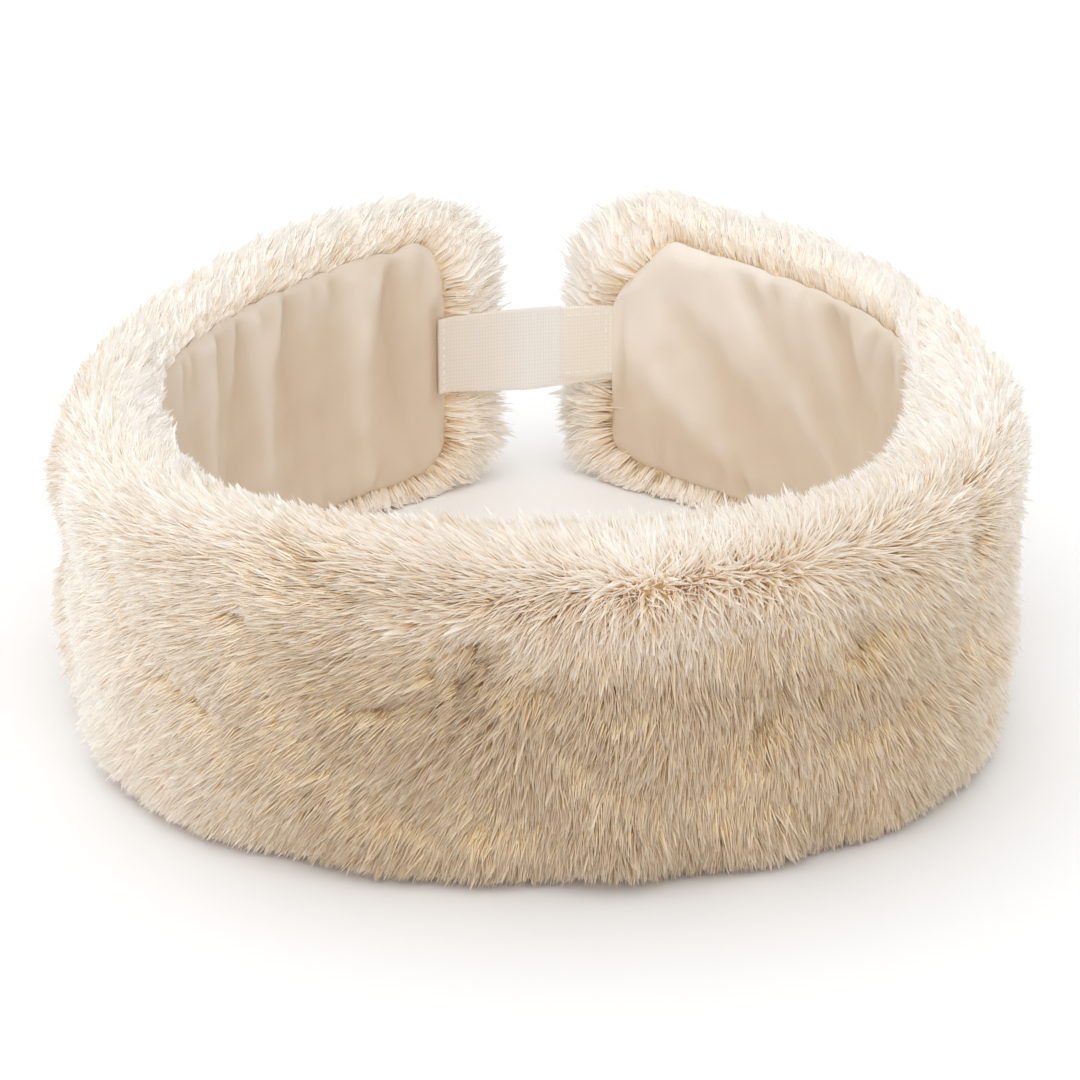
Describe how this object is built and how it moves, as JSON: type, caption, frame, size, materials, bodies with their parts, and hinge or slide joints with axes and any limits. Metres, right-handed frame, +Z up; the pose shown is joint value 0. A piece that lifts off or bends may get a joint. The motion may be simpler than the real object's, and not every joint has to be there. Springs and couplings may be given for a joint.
{
  "type": "faux fur headband",
  "caption": "Wide plush headband that stands on its lower edge: a deep pile wrapped round a satin lining, its two rounded ends joined at the back by a short woven elastic strap.",
  "frame": {"origin": "middle of the part's box, on the surface that its lower edge stands on", "axes": "+Z up out of the head opening, -Y the front of the band, +Y the back with the strap, +X the right when seen from the front"},
  "size_m": [0.2154, 0.2344, 0.075],
  "materials": {
    "fur": "deep soft cream plush pile, lighter at the tips and warm beige at the roots",
    "satin": "smooth champagne satin with a soft sheen and a puckered hem",
    "elastic": "pale matt woven elastic with fine ribs"
  },
  "bodies": {
    "root": {"fur_band": "fur", "lining": "satin", "elastic_strap": "elastic"}
  },
  "joints": []
}
